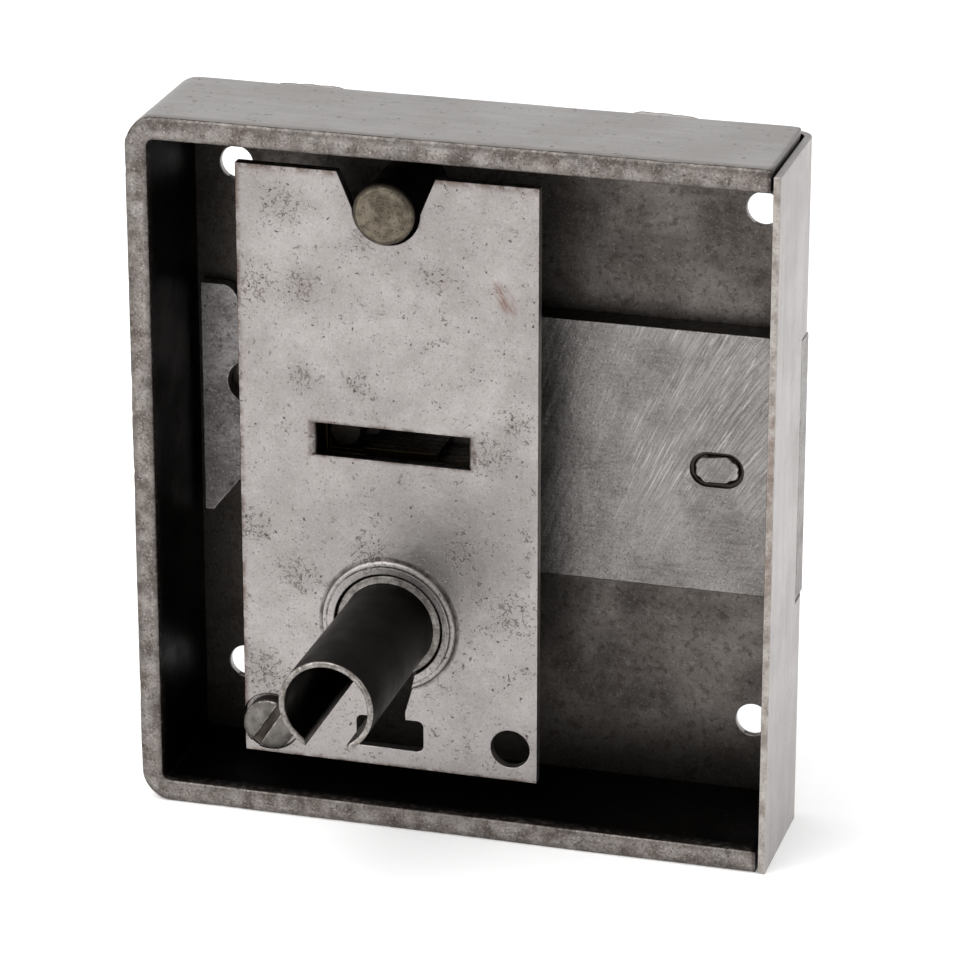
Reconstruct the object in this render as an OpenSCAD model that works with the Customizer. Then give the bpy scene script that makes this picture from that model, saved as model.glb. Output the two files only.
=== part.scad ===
// Rim deadlock with its cover side open: an L-bent lock plate, a bent rim band, a sliding
// bolt, five spring-loaded tumblers under a cover plate, and a turning key tube.
//
// Frame: X is the way the bolt is thrown, Z is up, and the open side faces -Y.
// The origin is the key axis in the plane of the case's front rim.

/* [Case] */
// Width of the case, from the back wall to the forend's outer face
case_w = 86; // [83:1:110]
// Height of the case
case_h = 96; // [92:1:118]
// Depth of the case, from the front rim to the back of the lock plate
case_d = 20; // [19:0.5:26]
// Thickness of the sheet that is bent into back plate and forend
sheet_t = 1; // [0.8:0.1:1.5]
// Inner radius of the bend between back plate and forend
bend_r = 1.5; // [1:0.1:2.5]
// Thickness of the strip that makes the other three walls
band_t = 3; // [2:0.1:4]
// Outer radius of the strip's two bends
band_bend_r = 4; // [3.5:0.1:6]
// Gap between the ends of the strip and the forend
mitre_gap = 0.35; // [0.1:0.05:1]
// How far the top edge of plate and forend lies below the strip's outer face
plate_inset = 0.8; // [0.2:0.1:1.2]
// Length of each tenon that is riveted through the lock plate
tenon_w = 9; // [5:0.5:12]
// Thickness of each tenon
tenon_t = 1.8; // [1:0.1:1.9]

/* [Mounting] */
// Diameter of the four mounting holes
mount_d = 4.5; // [3:0.1:6]
// Distance between the mounting holes along the bolt
mount_w = 71; // [60:0.5:72]
// Distance between the mounting holes up the case
mount_h = 71.5; // [60:0.5:75]
// Centre of the mounting holes before the forend's outer face
mount_setback = 41.8; // [41:0.1:43]
// Centre of the mounting holes above the foot of the case
mount_rise = 48.85; // [47:0.05:52]

/* [Key] */
// Distance from the key axis to the forend's outer face
backset = 52.5; // [50:0.5:58]
// Height of the key axis above the foot of the case
key_rise = 27.1; // [26:0.1:32]
// Outer radius of the key tube
tube_r = 6.3; // [5.6:0.1:6.6]
// Wall of the key tube
tube_wall = 0.8; // [0.6:0.1:1.2]
// Length of the key tube in front of the cover plate
tube_out = 27.7; // [15:0.1:40]
// Width of the slot along the tube, which lets the key bit out
tube_slot = 5.6; // [4:0.1:7]
// Width of the bearing step around the tube
journal_w = 1.04; // [0.8:0.02:1.4]
// Radial clearance of every running fit
run_clear = 0.06; // [0.02:0.01:0.09]
// Radius that the key bit sweeps
bit_r = 17; // [15.5:0.1:17.4]

/* [Cover] */
// Width of the cover plate
cover_w = 40.6; // [38:0.2:42]
// Thickness of the cover plate
cover_t = 1.5; // [1:0.1:2]
// Depth of the cover's front face below the rim
cover_sink = 5; // [3:0.1:5.5]
// Clearance between the cover's ends and the walls above and below
cover_end_gap = 3.6; // [1:0.1:5]
// Radius of the notch that the spring post stands in
notch_r = 4.5; // [4.3:0.1:5]
// Half width of the notch at the edge of the cover
notch_mouth = 6.8; // [5.2:0.1:8]
// Depth of the notch below the edge of the cover
notch_depth = 9.4; // [8:0.1:11]
// Width of the raised lip around the key tube
lip_w = 1.9; // [1:0.1:2.5]
// Height of the raised lip
lip_h = 0.6; // [0.4:0.1:1.4]
// Height of the level slot over the bolt stump
window_h = 4.55; // [4.3:0.05:5.5]
// Diameter of the spare hole at the cover's foot
spare_d = 5.3; // [3:0.1:6]
// Distance of the screw and the spare hole from the cover's centre line
foot_hole_x = 16.6; // [15:0.1:16.8]
// Height of the screw and the spare hole above the cover's foot
foot_hole_z = 4.6; // [4.2:0.1:6]
// Half width of the key opening's neck
neck_half = 2.1; // [1.5:0.1:2.6]
// Half width of the key opening's foot
foot_half = 4.6; // [3.5:0.1:6]

/* [Bolt] */
// Travel of the bolt
throw = 15; // [10:0.5:15]
// Height of the bolt head
head_h = 36; // [30:0.5:36]
// Thickness of the bolt head
head_t = 3.9; // [3:0.1:4.5]
// Foot of the bolt head above the key axis
head_rise = 5.55; // [5:0.05:7]
// Length of the bolt head
head_len = 37.5; // [34:0.5:38]
// Thickness of the bolt tail
tail_t = 1.95; // [1.5:0.05:2]
// Diameter of the round hole near the end of the tail
tail_hole_d = 5.9; // [3:0.1:7]
// Diameter of the bolt stump
stump_d = 4.2; // [3.5:0.1:4.4]
// Clearance between the bolt and its slot in the forend
bolt_clear = 0.15; // [0.08:0.01:0.3]

/* [Tumblers] */
// Thickness of one tumbler
tumbler_t = 1.4; // [1:0.1:1.45]
// Gap between tumblers
tumbler_gap = 0.12; // [0.08:0.01:0.2]
// Travel of a tumbler from its gate down to its rest
tumbler_drop = 2.5; // [1.5:0.1:2.5]
// Travel of a tumbler from its gate up to its stop
tumbler_lift = 1; // [0.5:0.1:1]
// Diameter of the two pins that guide the tumblers
guide_d = 4; // [3:0.1:4.4]
// Thickness of the bow springs
spring_t = 0.3; // [0.2:0.05:0.5]

/* [Posts and screw] */
// Radius of the spring post
post_r = 4.1; // [3.5:0.1:4.2]
// Height of the spring post in front of the cover
post_proud = 1.8; // [0.5:0.1:3]
// Diameter of the cover screw's thread
screw_d = 4; // [3:0.5:4]
// Diameter of the cover screw's head
screw_head_d = 7; // [6:0.1:7.4]
// Height of the cover screw's head above the cover
screw_proud = 2.1; // [1:0.1:2.6]
// Radius of the pillar that takes the cover screw
pillar_r = 3.5; // [3.2:0.1:3.6]

/* [Hidden] */
TUMBLERS = 5;
$fn = 64;
EPS = 0.5;

// Fits: a tight fit, a sliding gap, and an overlap that joins two bodies of one piece
fit_clear = 0.05;
slide_gap = 0.15;
JOIN = 0.1;

// The four sides of the case, and the faces that everything is stacked between
x_right = backset;
x_left = backset - case_w;
z_foot = -key_rise;
z_top = case_h - key_rise;
y_plate = case_d - sheet_t;
y_cover = cover_sink;
y_under = cover_sink + cover_t;

// The bend between back plate and forend, and the strip's relief inside it
bend_out = bend_r + sheet_t;
bend_clear = 0.25;
band_inner_r = 0.8;

// Places of the tenons, as shares of the case's width and height
tenons_across = [0.22, 0.77];
tenons_up = [0.3, 0.7];

// Radii of the spigots that are riveted through the lock plate
pillar_spigot_r = 2.2;
post_spigot_r = 2.5;
pin_spigot_r = 1.4;

// Cover plate
z_cover_foot = z_foot + band_t + cover_end_gap;
z_cover_top = z_top - band_t - cover_end_gap;
notch_z = z_cover_top - notch_depth + notch_r;
tube_hole_r = tube_r + journal_w + run_clear;
foot_hole_height = z_cover_foot + foot_hole_z;
screw_recess = 0.8;

// Key opening, from the flare under the tube down to the foot
sweep_clear = 0.8;
flare_top_half = 3.8;
flare_half = 3.4;
flare_drop = 1.2;
foot_end_z = -bit_r - sweep_clear;
foot_top_z = foot_end_z + 4.3;
neck_z = foot_top_z + 1.2;
foot_corner_r = 0.8;

// Bolt
bolt_back = y_plate - fit_clear;
tail_front = bolt_back - tail_t;
head_front = bolt_back - head_t;
head_top = head_rise + head_h;
head_left = x_right - head_len;
tail_left = x_left + band_t + 0.9;
tail_foot = 14.5;
tail_top = head_top - 3.5;
tongue_end = x_right - 3.5;
tongue_margin = 6.5;
tongue_fit = 0.02;
rivet_w = 6.3;
rivet_h = 3.9;
rivet_groove_w = 0.5;
rivet_groove_depth = 0.45;
rivet_place = [x_right - 10.9, head_rise + head_h / 2 - 0.9];
stump_z = 25.4;
stump_x = -throw / 2 + 0.5;
stump_spigot_r = 1.6;
bolt_guide_z = tail_top - 5.5;
bolt_guide_d = 4;

// Tumblers and what holds them
pitch = tumbler_t + tumbler_gap;
tumbler_back = tail_front - slide_gap;
stack_front = tumbler_back - TUMBLERS * pitch;
tumbler_left = -16;
tumbler_right = head_left - 1;
gate_half = stump_d / 2 + 0.2;
pocket_half = stump_d / 2 + 0.5;
guide_x = 10;
guide_z = head_top + 2.8;
tumbler_top = guide_z + 2.7;
tumbler_foot = 12;
post_z = notch_z;
spring_top = post_z - post_r - 0.3;
spring_half = guide_x - guide_d / 2 - 0.9;
// How far each tumbler's belly lies inside the bit's sweep: the cuts of the key
cuts = [1.8, 2.8, 1.0, 2.4, 1.4];

// A plate with its front face at y, drawn in X and Z
module plate(y, t) {
    translate([0, y + t, 0]) rotate([90, 0, 0]) linear_extrude(t) children();
}

// A round bar along Y
module bar(x, z, y0, y1, r) {
    translate([x, y1, z]) rotate([90, 0, 0]) cylinder(r = r, h = y1 - y0);
}

// A slot with round ends, centred on the origin
module stadium(w, h) {
    square([w - h, h], center = true);
    for (s = [-1, 1]) translate([s * (w - h) / 2, 0]) circle(d = h);
}

// A rectangle between two corners, with its left corners rounded
module left_rounded(x0, z0, x1, z1, r) {
    translate([x0 + r, z0]) square([x1 - x0 - r, z1 - z0]);
    translate([x0, z0 + r]) square([2 * r, z1 - z0 - 2 * r]);
    for (z = [z0 + r, z1 - r]) translate([x0 + r, z]) circle(r);
}

// Where the strip's tenons go through the lock plate: [x, z, turned upright]
function tenons() = concat(
    [for (across = tenons_across, z = [z_foot, z_top]) [x_left + across * case_w, z, false]],
    [for (up = tenons_up) [x_left, z_foot + up * case_h, true]]);

// Tenons as flat shapes, grown by a clearance
module tenon_shapes(grow) {
    inset = plate_inset + tenon_t / 2;
    for (t = tenons()) {
        side = t[1] > 0 ? -1 : 1;
        place = t[2] ? [t[0] + inset, t[1]] : [t[0], t[1] + side * inset];
        size = t[2] ? [tenon_t, tenon_w] : [tenon_w, tenon_t];
        translate(place) square([size[0] + 2 * grow, size[1] + 2 * grow], center = true);
    }
}

// Places of the four mounting holes
function mount_holes() = [for (sx = [-1, 1], sz = [-1, 1])
    [x_right - mount_setback + sx * mount_w / 2, z_foot + mount_rise + sz * mount_h / 2]];

// Posts that are riveted through the lock plate: [x, z, spigot radius]
function spigots() = [
    [-foot_hole_x, foot_hole_height, pillar_spigot_r],
    [0, post_z, post_spigot_r],
    [-guide_x, guide_z, pin_spigot_r],
    [guide_x, guide_z, pin_spigot_r],
    [0, bolt_guide_z, pin_spigot_r]];

// Back plate and forend, one bent sheet
module lock_plate() {
    plate_top = z_top - plate_inset;
    color("#8d8983") difference() {
        union() {
            plate(y_plate, sheet_t) left_rounded(x_left + plate_inset, z_foot,
                x_right - bend_out, plate_top, band_bend_r - plate_inset);
            translate([0, 0, z_foot]) linear_extrude(plate_top - z_foot) {
                translate([x_right - sheet_t, 0]) square([sheet_t, case_d - bend_out]);
                translate([x_right - bend_out, case_d - bend_out]) difference() {
                    intersection() {
                        circle(bend_out);
                        square(bend_out);
                    }
                    circle(bend_r);
                }
            }
        }
        for (h = mount_holes()) bar(h[0], h[1], y_plate - EPS, case_d + EPS, mount_d / 2);
        for (s = spigots()) bar(s[0], s[1], y_plate - EPS, case_d + EPS, s[2]);
        plate(y_plate - EPS, sheet_t + 2 * EPS) tenon_shapes(fit_clear);
        translate([x_right - bend_out - EPS, head_front - bolt_clear, head_rise - bolt_clear])
            cube([bend_out + 2 * EPS, y_plate - head_front + bolt_clear,
                  head_h + 2 * bolt_clear]);
    }
}

// Top, back and bottom walls, one strip with two bends and six tenons, relieved at the
// corner that would foul the inside of the lock plate's bend
module rim_band() {
    x_end = x_right - sheet_t - mitre_gap;
    color("#a29d98") {
        difference() {
            plate(0, y_plate) difference() {
                left_rounded(x_left, z_foot, x_end, z_top, band_bend_r);
                left_rounded(x_left + band_t, z_foot + band_t, x_end + EPS, z_top - band_t,
                    band_inner_r);
            }
            translate([x_right - bend_out, case_d - bend_out, z_foot - EPS])
                linear_extrude(case_h + 2 * EPS) difference() {
                    square(bend_out);
                    circle(bend_r - bend_clear);
                }
        }
        plate(y_plate, sheet_t) tenon_shapes(0);
    }
}

// Opening for the key's bit: a neck that flares into the tube's hole, and a wider foot
module key_opening() {
    r = foot_corner_r;
    flare_top = -tube_r + 1;
    flare_z = -tube_r - flare_drop;
    polygon([[-flare_top_half, flare_top], [flare_top_half, flare_top], [flare_half, flare_z],
             [neck_half, neck_z], [neck_half, foot_top_z], [-neck_half, foot_top_z],
             [-neck_half, neck_z], [-flare_half, flare_z]]);
    translate([-foot_half + r, foot_end_z]) square([2 * (foot_half - r), foot_top_z - foot_end_z]);
    translate([-foot_half, foot_end_z + r])
        square([2 * foot_half, foot_top_z - foot_end_z - 2 * r]);
    for (s = [-1, 1], z = [foot_end_z + r, foot_top_z - r])
        translate([s * (foot_half - r), z]) circle(r);
}

// Cover plate with a pressed-up lip around the key tube
module cover_plate() {
    lip_r = tube_hole_r + lip_w;
    window_l = throw + stump_d + 1;
    foot_hole = screw_d / 2 + 0.25;
    recess = screw_head_d / 2 + 0.5;
    color("#c2bab6") difference() {
        union() {
            plate(y_cover, cover_t) translate([-cover_w / 2, z_cover_foot])
                square([cover_w, z_cover_top - z_cover_foot]);
            translate([0, y_cover + JOIN, 0]) rotate([90, 0, 0]) rotate_extrude()
                polygon(concat([[tube_hole_r - EPS, 0]], [[tube_hole_r - EPS, lip_h + JOIN]],
                    [for (a = [90:-15:0])
                        [lip_r - lip_h + lip_h * cos(a), JOIN + lip_h * sin(a)]],
                    [[lip_r, 0]]));
        }
        bar(0, 0, y_cover - lip_h - EPS, y_under + EPS, tube_hole_r);
        plate(y_cover - lip_h - EPS, lip_h + cover_t + 2 * EPS) {
            key_opening();
            translate([stump_x + throw / 2, stump_z]) square([window_l, window_h], center = true);
            translate([0, notch_z]) circle(notch_r);
            polygon([[-notch_r, notch_z], [notch_r, notch_z],
                     [notch_mouth, z_cover_top + EPS], [-notch_mouth, z_cover_top + EPS]]);
        }
        bar(foot_hole_x, foot_hole_height, y_cover - EPS, y_under + EPS, spare_d / 2);
        bar(-foot_hole_x, foot_hole_height, y_cover - EPS, y_under + EPS, foot_hole);
        bar(-foot_hole_x, foot_hole_height, y_cover - EPS, y_cover + screw_recess, recess);
    }
}

// Slotted screw that holds the cover's foot
module cover_screw() {
    head_back = y_cover + screw_recess;
    head_top_y = y_cover - screw_proud;
    dome_h = 0.8;
    slot_w = 1.1;
    slot_depth = 1.4;
    slot_turn = -57;
    r = screw_head_d / 2;
    dome_r = (r * r + dome_h * dome_h) / (2 * dome_h);
    color("#8a8884") difference() {
        union() {
            bar(-foot_hole_x, foot_hole_height, head_top_y + dome_h, head_back, r);
            bar(-foot_hole_x, foot_hole_height, head_back - JOIN, y_plate - 2, screw_d / 2);
            intersection() {
                translate([-foot_hole_x, head_top_y + dome_r, foot_hole_height]) sphere(dome_r);
                bar(-foot_hole_x, foot_hole_height, head_top_y, head_top_y + dome_h + JOIN, r);
            }
        }
        translate([-foot_hole_x, head_top_y, foot_hole_height]) rotate([0, slot_turn, 0])
            cube([screw_head_d + 1, 2 * slot_depth, slot_w], center = true);
    }
}

// Tapped pillar under the cover's foot
module screw_pillar() {
    tap_r = screw_d / 2 + 0.03;
    tap_end = y_plate - 1.8;
    color("#77736d") difference() {
        union() {
            bar(-foot_hole_x, foot_hole_height, y_under, y_plate, pillar_r);
            bar(-foot_hole_x, foot_hole_height, y_plate - JOIN, case_d, pillar_spigot_r);
        }
        bar(-foot_hole_x, foot_hole_height, y_under - EPS, tap_end, tap_r);
    }
}

// Post in the cover's notch, which the tumbler springs push against
module spring_post() {
    chamfer = 0.6;
    front = y_cover - post_proud;
    color("#6f6a5e") {
        bar(0, post_z, front + chamfer, y_plate, post_r);
        translate([0, front + chamfer, post_z]) rotate([90, 0, 0])
            cylinder(r1 = post_r, r2 = post_r - chamfer, h = chamfer);
        bar(0, post_z, y_plate - JOIN, case_d, post_spigot_r);
    }
}

// Two pins that guide the tumblers and carry the top of the cover
module tumbler_guides() {
    color("#77736d") for (s = [-1, 1]) {
        bar(s * guide_x, guide_z, y_under, y_plate, guide_d / 2);
        bar(s * guide_x, guide_z, y_plate - JOIN, case_d, pin_spigot_r);
    }
}

// Pin that keeps the bolt's tail level
module bolt_guide() {
    color("#77736d") {
        bar(0, bolt_guide_z, tail_front, y_plate, bolt_guide_d / 2);
        bar(0, bolt_guide_z, y_plate - JOIN, case_d, pin_spigot_r);
    }
}

// Ring on the lock plate that the inner end of the key tube turns in
module tube_seat() {
    seat_w = 2.6;
    seat_front = y_plate - 1;
    color("#77736d") difference() {
        bar(0, 0, seat_front, y_plate, tube_r + seat_w);
        bar(0, 0, seat_front - EPS, y_plate + EPS, tube_r + run_clear);
    }
}

// Slotted tube that leads the key to the lock and turns with it: a shoulder shows in the
// cover's lip, the journal runs in its hole, and a flange behind it keeps the tube in
module key_tube() {
    journal_r = tube_r + journal_w;
    journal_y = y_cover + 0.3;
    shoulder_w = 0.9;
    shoulder_y = y_cover - 0.4;
    flange_w = 1.2;
    flange_t = 1;
    flange_y = y_under + slide_gap;
    tube_front = y_cover - tube_out;
    slot_depth = journal_r + flange_w + EPS;
    color("#5d5a52") difference() {
        union() {
            bar(0, 0, tube_front, y_plate - 0.1, tube_r);
            bar(0, 0, shoulder_y, flange_y, tube_r + shoulder_w);
            bar(0, 0, journal_y, flange_y, journal_r);
            bar(0, 0, flange_y, flange_y + flange_t, journal_r + flange_w);
        }
        bar(0, 0, tube_front - EPS, case_d, tube_r - tube_wall);
        translate([-tube_slot / 2, tube_front - EPS, -slot_depth])
            cube([tube_slot, case_d - tube_front + 2 * EPS, slot_depth]);
    }
}

// Outline of the bolt tail: a hammer-shaped end, a level bar and a talon for the bit
module tail_shape() {
    ear_w = 5.4;
    ear_r = 2.4;
    ear_top = head_top - 0.4;
    horn_drop = 5.8;
    horn_w = 1.3;
    horn_root = 7;
    talon_r = 3;
    talon_x = -throw / 2;
    talon_top = bit_r + sweep_clear;
    hole = [tail_left + 6.7, head_top - 14];
    difference() {
        union() {
            translate([tail_left, tail_foot]) square([head_left - tail_left, tail_top - tail_foot]);
            translate([tail_left, tail_top - EPS]) square([ear_w, ear_top - ear_r - tail_top + EPS]);
            translate([tail_left, tail_top - EPS]) square([ear_w - ear_r, ear_top - tail_top + EPS]);
            translate([tail_left + ear_w - ear_r, ear_top - ear_r]) circle(ear_r);
            polygon([[tail_left, tail_foot + 1], [tail_left, tail_foot - horn_drop],
                     [tail_left + horn_w, tail_foot - horn_drop],
                     [tail_left + horn_root - 2, tail_foot - 1.2],
                     [tail_left + horn_root, tail_foot], [tail_left + horn_root, tail_foot + 1]]);
            translate([head_left - 1, head_rise + tongue_margin])
                square([tongue_end - head_left + 1, head_h - 2 * tongue_margin]);
        }
        translate([talon_x - talon_r, 0]) square([2 * talon_r, talon_top - talon_r]);
        translate([talon_x, talon_top - talon_r]) circle(talon_r);
        translate([-throw / 2, bolt_guide_z])
            stadium(throw + bolt_guide_d + 0.4, bolt_guide_d + 2 * fit_clear);
        translate(hole) circle(d = tail_hole_d);
        translate([stump_x, stump_z]) circle(stump_spigot_r);
        translate(rivet_place) stadium(rivet_w + 2 * fit_clear, rivet_h + 2 * fit_clear);
    }
}

module bolt_tail() {
    color("#8f8c88") plate(tail_front, tail_t) tail_shape();
}

// Head of the bolt, cut away behind to take the tail's tongue
module bolt_head() {
    tongue_z = head_rise + tongue_margin - tongue_fit;
    color("#85827e") difference() {
        plate(head_front, head_t) translate([head_left, head_rise]) square([head_len, head_h]);
        translate([head_left - EPS, tail_front - tongue_fit, tongue_z])
            cube([tongue_end - head_left + EPS + tongue_fit, tail_t + EPS,
                  head_h - 2 * (tongue_margin - tongue_fit)]);
        plate(head_front - EPS, head_t + 2 * EPS)
            translate(rivet_place) stadium(rivet_w + 2 * fit_clear, rivet_h + 2 * fit_clear);
        plate(head_front - EPS, EPS + rivet_groove_depth) translate(rivet_place)
            stadium(rivet_w + 2 * rivet_groove_w, rivet_h + 2 * rivet_groove_w);
    }
}

// Oval rivet that joins head and tail
module bolt_rivet() {
    color("#7c7975") plate(head_front - fit_clear, head_t + fit_clear)
        translate(rivet_place) stadium(rivet_w, rivet_h);
}

// Stump on the tail that passes the tumblers' gates
module bolt_stump() {
    color("#77736d") {
        bar(stump_x, stump_z, stack_front - 0.3, tail_front, stump_d / 2);
        bar(stump_x, stump_z, tail_front - JOIN, bolt_back, stump_spigot_r - fit_clear);
    }
}

// One tumbler: two pockets joined by a gate, two guide slots and a curved belly
module tumbler(i) {
    y = tumbler_back - i * pitch + tumbler_gap;
    pocket_foot = stump_z - gate_half - tumbler_lift;
    pocket_h = 2 * gate_half + tumbler_lift + tumbler_drop;
    slot_r = guide_d / 2 + run_clear;
    slot_z = guide_z - tumbler_lift - 0.2;
    color("#a98f52") plate(y, tumbler_t) difference() {
        translate([tumbler_left, tumbler_foot])
            square([tumbler_right - tumbler_left, tumbler_top - tumbler_foot]);
        circle(bit_r - cuts[i - 1]);
        for (x = [stump_x, stump_x + throw]) translate([x - pocket_half, pocket_foot])
            square([2 * pocket_half, pocket_h]);
        translate([stump_x, stump_z - gate_half]) square([throw, 2 * gate_half]);
        for (s = [-1, 1]) translate([s * guide_x, slot_z]) {
            circle(slot_r);
            translate([-slot_r, 0]) square([2 * slot_r, tumbler_top - slot_z + EPS]);
        }
    }
}

// One bow spring between a tumbler's top edge and the spring post
module tumbler_spring(i) {
    side_gap = 0.2;
    y = tumbler_back - i * pitch + tumbler_gap + side_gap;
    base = tumbler_top + 0.03;
    rise = spring_top - base;
    r = (spring_half * spring_half + rise * rise) / (2 * rise);
    color("#55606b") plate(y, tumbler_t - 2 * side_gap) intersection() {
        translate([0, spring_top - r]) difference() {
            circle(r);
            circle(r - spring_t);
        }
        translate([-2 * r, base]) square([4 * r, rise + 1]);
    }
}

lock_plate();
rim_band();
cover_plate();
cover_screw();
screw_pillar();
spring_post();
tumbler_guides();
bolt_guide();
tube_seat();
key_tube();
bolt_head();
bolt_tail();
bolt_rivet();
bolt_stump();
for (i = [1:TUMBLERS]) {
    tumbler(i);
    tumbler_spring(i);
}
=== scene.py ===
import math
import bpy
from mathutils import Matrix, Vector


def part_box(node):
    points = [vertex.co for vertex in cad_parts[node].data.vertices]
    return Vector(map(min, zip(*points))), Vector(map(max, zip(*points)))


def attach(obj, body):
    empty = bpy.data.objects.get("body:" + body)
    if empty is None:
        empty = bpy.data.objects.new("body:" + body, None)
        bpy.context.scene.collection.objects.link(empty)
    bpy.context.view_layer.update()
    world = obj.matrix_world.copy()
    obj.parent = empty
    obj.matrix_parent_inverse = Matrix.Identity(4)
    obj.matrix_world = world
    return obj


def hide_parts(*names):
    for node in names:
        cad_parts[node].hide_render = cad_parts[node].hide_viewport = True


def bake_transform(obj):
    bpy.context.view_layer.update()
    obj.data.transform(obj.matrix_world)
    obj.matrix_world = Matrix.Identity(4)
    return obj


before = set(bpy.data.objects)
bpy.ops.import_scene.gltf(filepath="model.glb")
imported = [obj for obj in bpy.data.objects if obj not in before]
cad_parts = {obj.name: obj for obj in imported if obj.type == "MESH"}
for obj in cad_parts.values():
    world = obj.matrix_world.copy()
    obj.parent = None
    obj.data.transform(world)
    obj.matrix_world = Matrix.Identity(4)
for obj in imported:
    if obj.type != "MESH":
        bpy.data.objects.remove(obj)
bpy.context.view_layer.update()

# The studio: a white floor and soft lights round a rim deadlock that stands on its foot with
# its open side towards the camera. Polished steel shows mostly what it reflects, so the floor
# lights the upright faces and the grey of the room lights the ones that look up.
from types import SimpleNamespace

import bmesh
import bpy
from mathutils import Matrix, Vector, noise

MM = 0.001
plate_low, plate_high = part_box("lock_plate")
case_middle = (plate_low + plate_high) / 2
scene = bpy.context.scene
scene.view_settings.view_transform = "Standard"

camera_azimuth = math.radians(15.94)
camera_elevation = math.radians(21.5)
camera_distance = 0.629
aim = case_middle + Vector((1.3, 0, -0.7)) * MM
backwards = Vector((
    math.sin(camera_azimuth) * math.cos(camera_elevation),
    -math.cos(camera_azimuth) * math.cos(camera_elevation),
    math.sin(camera_elevation)))
camera = bpy.data.objects.new("camera", bpy.data.cameras.new("camera"))
camera.data.lens = 180
camera.data.sensor_width = 36
camera.location = aim + camera_distance * backwards
camera.rotation_euler = backwards.to_track_quat("Z", "Y").to_euler()
scene.collection.objects.link(camera)
scene.camera = camera


def soft_light(name, place, width, watts):
    """A square area light at a place relative to the case, which it faces."""
    light = bpy.data.objects.new(name, bpy.data.lights.new(name, "AREA"))
    light.data.size = width
    light.data.energy = watts
    light.location = case_middle + Vector(place)
    light.rotation_euler = Vector(place).to_track_quat("Z", "Y").to_euler()
    scene.collection.objects.link(light)


soft_light("overhead_light", (-0.35, -0.3, 1.0), 1.0, 9)
soft_light("left_light", (-0.9, -0.8, 0.45), 0.7, 5)
soft_light("right_light", (1.0, 0.2, 0.5), 0.7, 2.5)

room = bpy.data.worlds.new("room")
room.use_nodes = True
room.node_tree.nodes["Background"].inputs["Color"].default_value = (0.74, 0.74, 0.74, 1)
room.node_tree.nodes["Background"].inputs["Strength"].default_value = 1.0
scene.world = room

floor_half = 4.0
floor_mesh = bpy.data.meshes.new("floor")
floor_mesh.from_pydata(
    [(x, y, plate_low.z) for x, y in ((-1, -1), (1, -1), (1, 1), (-1, 1))], [], [(0, 1, 2, 3)])
floor_mesh.transform(Matrix.Diagonal((floor_half, floor_half, 1, 1)))
floor = bpy.data.objects.new("floor", floor_mesh)
scene.collection.objects.link(floor)
white = bpy.data.materials.new("white_floor")
white.use_nodes = True
for key, value in (
        ("Base Color", (0.86, 0.86, 0.86, 1)), ("Roughness", 0.8),
        ("Emission Color", (1, 1, 1, 1)), ("Emission Strength", 0.2)):
    white.node_tree.nodes["Principled BSDF"].inputs[key].default_value = value
floor_mesh.materials.append(white)


# Lock plate: back plate and forend are one sheet of 1 mm steel, blanked and bent square.
# The inside has gone brown and dull, the outside is rubbed bright, and the forend's front
# edge is rusty where the bolt passes.
def worn_copy(name, node, body, radius, shape=None, marks=None, crisp=None):
    """A piece with a CAD node's shape and its outer edges rounded off.

    shape changes the bmesh before its edges are rounded, and crisp tells which edges stay
    sharp. Rounded faces get the attribute "rim", and marks gives further attributes, each
    told from a face's centre and normal.
    """
    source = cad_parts[node]
    work = bmesh.new()
    work.from_mesh(source.data)
    work.transform(source.matrix_world)
    bmesh.ops.remove_doubles(work, verts=work.verts, dist=0.001 * MM)
    bmesh.ops.dissolve_limit(
        work, angle_limit=math.radians(0.5), verts=work.verts, edges=work.edges)
    if shape:
        shape(work)
    rim = work.faces.layers.float.new("rim")
    work.normal_update()
    sharp = [
        edge for edge in work.edges
        if edge.is_manifold and edge.calc_face_angle_signed() > math.radians(28)
        and not (crisp and crisp(edge))]
    rounded = bmesh.ops.bevel(
        work, geom=sharp, offset=radius, offset_type="OFFSET", segments=2, profile=0.5,
        affect="EDGES", clamp_overlap=False)
    for face in rounded["faces"]:
        face[rim] = 1.0
    for edge in work.edges:
        if edge.is_manifold and edge.calc_face_angle() > math.radians(50):
            edge.smooth = False
    for label, tell in (marks or {}).items():
        layer = work.faces.layers.float.new(label)
        for face in work.faces:
            face[layer] = 1.0 if tell(face.calc_center_median(), face.normal) else 0.0
    return placed(name, work, body, [node])


def placed(name, work, body, nodes):
    """Makes a piece from a bmesh, smooth, riding on a body in place of its CAD nodes."""
    mesh = bpy.data.meshes.new(name)
    work.to_mesh(mesh)
    work.free()
    mesh.shade_smooth()
    piece = bpy.data.objects.new(name, mesh)
    scene.collection.objects.link(piece)
    even = piece.modifiers.new("even_normals", "WEIGHTED_NORMAL")
    even.keep_sharp = True
    if nodes:
        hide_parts(*nodes)
    if body:
        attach(piece, body)
    return piece


def tint(red, green, blue):
    """A colour from its display values, 0 to 255."""
    def linear(value):
        share = value / 255
        return share / 12.92 if share <= 0.04045 else ((share + 0.055) / 1.055) ** 2.4
    return (linear(red), linear(green), linear(blue), 1.0)


def add(tree, kind, inputs=None, **settings):
    """Adds a shader node. Each input is a socket to link or a value to set."""
    made = tree.nodes.new("ShaderNode" + kind)
    for key, value in settings.items():
        setattr(made, key, value)
    for key, value in (inputs or {}).items():
        if isinstance(value, bpy.types.NodeSocket):
            tree.links.new(value, made.inputs[key])
        else:
            made.inputs[key].default_value = value
    return made


def maths(tree, operation, *values):
    return add(tree, "Math", dict(enumerate(values)), operation=operation).outputs[0]


def blended(tree, share, first, second):
    """One colour over another, by a share from 0 to 1."""
    return add(tree, "Mix", {0: share, 6: first, 7: second}, data_type="RGBA").outputs[2]


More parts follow.
